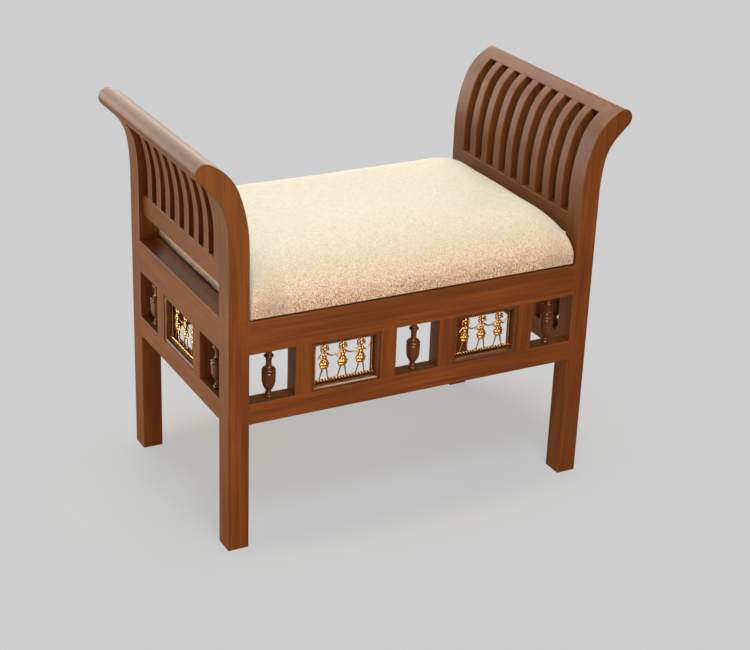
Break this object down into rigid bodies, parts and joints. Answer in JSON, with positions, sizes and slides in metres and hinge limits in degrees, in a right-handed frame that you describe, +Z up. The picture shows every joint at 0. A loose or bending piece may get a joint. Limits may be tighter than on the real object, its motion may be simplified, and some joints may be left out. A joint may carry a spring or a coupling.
{
  "type": "upholstered arm bench",
  "caption": "Low wooden bench with outward-curling slatted arms, a crowned fabric seat pad and a gallery of turned balusters and openwork brass panels under the seat.",
  "frame": {"origin": "on the floor under the middle of the bench", "axes": "+X along the seat to the right, +Y from the front to the back, +Z up"},
  "size_m": [0.693, 0.38, 0.5951],
  "materials": {
    "frame_wood": "satin lacquered reddish brown hardwood",
    "cover_fabric": "cream woven cloth with darker flecks",
    "foam": "upholstery foam",
    "plywood": "bare plywood",
    "brass": "antiqued cast brass",
    "screw_steel": "zinc plated"
  },
  "bodies": {
    "root": {"back_baluster_1": "frame_wood", "back_baluster_2": "frame_wood", "back_baluster_3": "frame_wood", "back_brass_panel_1": "brass", "back_brass_panel_2": "brass", "back_left_post": "frame_wood", "back_lower_rail": "frame_wood", "back_muntin_1": "frame_wood", "back_muntin_2": "frame_wood", "back_muntin_3": "frame_wood", "back_muntin_4": "frame_wood", "back_panel_beads_1": "frame_wood", "back_panel_beads_2": "frame_wood", "back_right_post": "frame_wood", "back_seat_rail": "frame_wood", "corner_block_bolts": "screw_steel", "corner_blocks": "frame_wood", "front_baluster_1": "frame_wood", "front_baluster_2": "frame_wood", "front_baluster_3": "frame_wood", "front_brass_panel_1": "brass", "front_brass_panel_2": "brass", "front_left_post": "frame_wood", "front_lower_rail": "frame_wood", "front_muntin_1": "frame_wood", "front_muntin_2": "frame_wood", "front_muntin_3": "frame_wood", "front_muntin_4": "frame_wood", "front_panel_beads_1": "frame_wood", "front_panel_beads_2": "frame_wood", "front_right_post": "frame_wood", "front_seat_rail": "frame_wood", "left_arm_lower_rail": "frame_wood", "left_arm_slats": "frame_wood", "left_arm_top_rail": "frame_wood", "left_baluster_1": "frame_wood", "left_baluster_2": "frame_wood", "left_brass_panel": "brass", "left_lower_rail": "frame_wood", "left_muntin_1": "frame_wood", "left_muntin_2": "frame_wood", "left_panel_beads": "frame_wood", "left_seat_rail": "frame_wood", "panel_pins": "brass", "right_arm_lower_rail": "frame_wood", "right_arm_slats": "frame_wood", "right_arm_top_rail": "frame_wood", "right_baluster_1": "frame_wood", "right_baluster_2": "frame_wood", "right_brass_panel": "brass", "right_lower_rail": "frame_wood", "right_muntin_1": "frame_wood", "right_muntin_2": "frame_wood", "right_panel_beads": "frame_wood", "right_seat_rail": "frame_wood", "seat_board": "plywood", "seat_cover": "cover_fabric", "seat_foam": "foam", "seat_screws": "screw_steel"}
  },
  "joints": []
}
